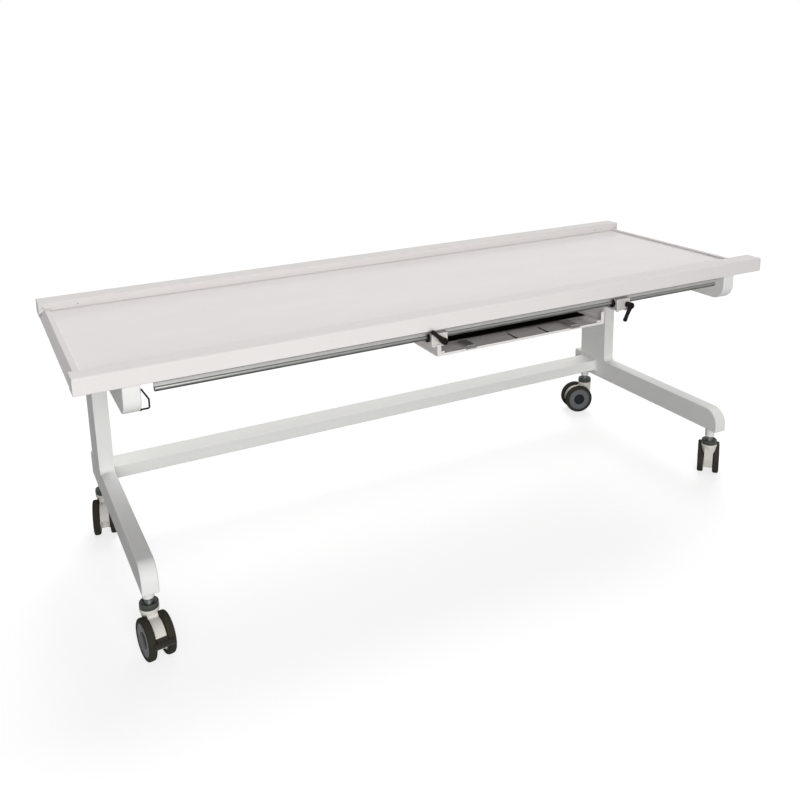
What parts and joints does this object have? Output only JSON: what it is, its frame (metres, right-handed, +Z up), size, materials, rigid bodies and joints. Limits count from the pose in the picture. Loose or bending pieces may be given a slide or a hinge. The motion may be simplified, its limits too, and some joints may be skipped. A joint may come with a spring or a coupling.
{
  "type": "mobile radiography table",
  "caption": "Wheeled X-ray table with a long recessed flat top, C-shaped end frames, a rear cross tube, and a sliding cassette tray with clamp levers on guide rails under the top.",
  "frame": {"origin": "on the floor, under the middle of the outline of the whole table with its casters as stored", "axes": "+X along the table to the right as seen from the open front, +Y from the front to the rear columns, +Z up"},
  "size_m": [2, 0.7654, 0.706],
  "materials": {
    "laminate": "smooth semi-gloss white laminate",
    "powder_white": "white powder coat",
    "leg_white": "warm white powder coat",
    "aluminium": "drawn aluminium section",
    "bright_steel": "ground bright steel shaft",
    "block_grey": "silver painted cast block",
    "seal_dark": "dark moulded bearing",
    "lever_black": "black coated die casting and wire",
    "sheet_grey": "brushed sheet",
    "mat_black": "matt black mat",
    "collar_grey": "dark grey moulded cap",
    "fork_grey": "light grey moulded body",
    "tyre_grey": "charcoal rubber tread",
    "hub_grey": "mid grey moulded disc",
    "pedal_dark": "dark moulded pedal"
  },
  "bodies": {
    "table": {"top_panel": "laminate", "front_rail": "powder_white", "rear_rail": "powder_white", "left_end_trim": "powder_white", "right_end_trim": "powder_white", "stretcher": "leg_white", "front_guide_support": "aluminium", "rear_guide_support": "aluminium", "front_guide_shaft": "bright_steel", "rear_guide_shaft": "bright_steel", "wire_loop": "lever_black", "left_arm": "leg_white", "left_column": "leg_white", "left_foot": "leg_white", "left_stretcher_flange": "leg_white", "right_arm": "leg_white", "right_column": "leg_white", "right_foot": "leg_white", "right_stretcher_flange": "leg_white", "fl_collar": "collar_grey", "fr_collar": "collar_grey", "rl_collar": "collar_grey", "rr_collar": "collar_grey"},
    "carriage": {"cassette_tray": "powder_white", "front_left_block": "block_grey", "front_right_block": "block_grey", "rear_left_block": "block_grey", "rear_right_block": "block_grey", "front_left_bearing": "seal_dark", "front_right_bearing": "seal_dark"},
    "drawer": {"drawer_plate": "sheet_grey", "drawer_mat": "mat_black"},
    "left_lever": {"left_clamp_lever": "lever_black"},
    "right_lever": {"right_clamp_lever": "lever_black"},
    "fl_caster": {"fl_fork": "fork_grey"},
    "fl_wheel_a": {"fl_tyre_a": "tyre_grey", "fl_hub_a": "hub_grey"},
    "fl_wheel_b": {"fl_tyre_b": "tyre_grey", "fl_hub_b": "hub_grey"},
    "fl_brake": {"fl_pedal": "pedal_dark"},
    "fr_caster": {"fr_fork": "fork_grey"},
    "fr_wheel_a": {"fr_tyre_a": "tyre_grey", "fr_hub_a": "hub_grey"},
    "fr_wheel_b": {"fr_tyre_b": "tyre_grey", "fr_hub_b": "hub_grey"},
    "fr_brake": {"fr_pedal": "pedal_dark"},
    "rl_caster": {"rl_fork": "fork_grey"},
    "rl_wheel_a": {"rl_tyre_a": "tyre_grey", "rl_hub_a": "hub_grey"},
    "rl_wheel_b": {"rl_tyre_b": "tyre_grey", "rl_hub_b": "hub_grey"},
    "rr_caster": {"rr_fork": "fork_grey"},
    "rr_wheel_a": {"rr_tyre_a": "tyre_grey", "rr_hub_a": "hub_grey"},
    "rr_wheel_b": {"rr_tyre_b": "tyre_grey", "rr_hub_b": "hub_grey"}
  },
  "joints": [
    {"name": "carriage_slide", "type": "slide", "parent": "table", "child": "carriage", "axis": [1, 0, 0], "range_m": [-0.66, 0.32]},
    {"name": "drawer_slide", "type": "slide", "parent": "carriage", "child": "drawer", "axis": [0, -1, 0], "range_m": [0, 0.32]},
    {"name": "left_lever_turn", "type": "hinge", "parent": "carriage", "child": "left_lever", "pos_m": [-0.119, -0.32942, 0.641], "axis": [0, -1, 0], "range_deg": [0, 90]},
    {"name": "right_lever_turn", "type": "hinge", "parent": "carriage", "child": "right_lever", "pos_m": [0.479, -0.32942, 0.641], "axis": [0, -1, 0], "range_deg": [0, 90]},
    {"name": "fl_swivel", "type": "hinge", "parent": "table", "child": "fl_caster", "pos_m": [-0.88, -0.28442, 0.11], "axis": [0, 0, 1], "continuous": true},
    {"name": "fl_spin_a", "type": "hinge", "parent": "fl_caster", "child": "fl_wheel_a", "pos_m": [-0.89846, -0.31832, 0.05], "axis": [0.9903, 0.1392, 0], "continuous": true},
    {"name": "fl_spin_b", "type": "hinge", "parent": "fl_caster", "child": "fl_wheel_b", "pos_m": [-0.85291, -0.31192, 0.05], "axis": [0.9903, 0.1392, 0], "continuous": true},
    {"name": "fl_brake_pedal", "type": "hinge", "parent": "fl_caster", "child": "fl_brake", "pos_m": [-0.87137, -0.34582, 0.06], "axis": [0.9903, 0.1392, 0], "range_deg": [0, 8]},
    {"name": "fr_swivel", "type": "hinge", "parent": "table", "child": "fr_caster", "pos_m": [0.88, -0.28442, 0.11], "axis": [0, 0, 1], "continuous": true},
    {"name": "fr_spin_a", "type": "hinge", "parent": "fr_caster", "child": "fr_wheel_a", "pos_m": [0.91832, -0.27977, 0.05], "axis": [-0.6884, 0.7254, 0], "continuous": true},
    {"name": "fr_spin_b", "type": "hinge", "parent": "fr_caster", "child": "fr_wheel_b", "pos_m": [0.88665, -0.2464, 0.05], "axis": [-0.6884, 0.7254, 0], "continuous": true},
    {"name": "fr_brake_pedal", "type": "hinge", "parent": "fr_caster", "child": "fr_brake", "pos_m": [0.92497, -0.24175, 0.06], "axis": [-0.6884, 0.7254, 0], "range_deg": [0, 8]},
    {"name": "rl_swivel", "type": "hinge", "parent": "table", "child": "rl_caster", "pos_m": [-0.88, 0.32958, 0.11], "axis": [0, 0, 1], "continuous": true},
    {"name": "rl_spin_a", "type": "hinge", "parent": "rl_caster", "child": "rl_wheel_a", "pos_m": [-0.90849, 0.30353, 0.05], "axis": [0.9816, -0.1908, 0], "continuous": true},
    {"name": "rl_spin_b", "type": "hinge", "parent": "rl_caster", "child": "rl_wheel_b", "pos_m": [-0.86334, 0.29476, 0.05], "axis": [0.9816, -0.1908, 0], "continuous": true},
    {"name": "rr_swivel", "type": "hinge", "parent": "table", "child": "rr_caster", "pos_m": [0.88, 0.32958, 0.11], "axis": [0, 0, 1], "continuous": true},
    {"name": "rr_spin_a", "type": "hinge", "parent": "rr_caster", "child": "rr_wheel_a", "pos_m": [0.85708, 0.36063, 0.05], "axis": [-0.2924, -0.9563, 0], "continuous": true},
    {"name": "rr_spin_b", "type": "hinge", "parent": "rr_caster", "child": "rr_wheel_b", "pos_m": [0.84363, 0.31665, 0.05], "axis": [-0.2924, -0.9563, 0], "continuous": true}
  ]
}
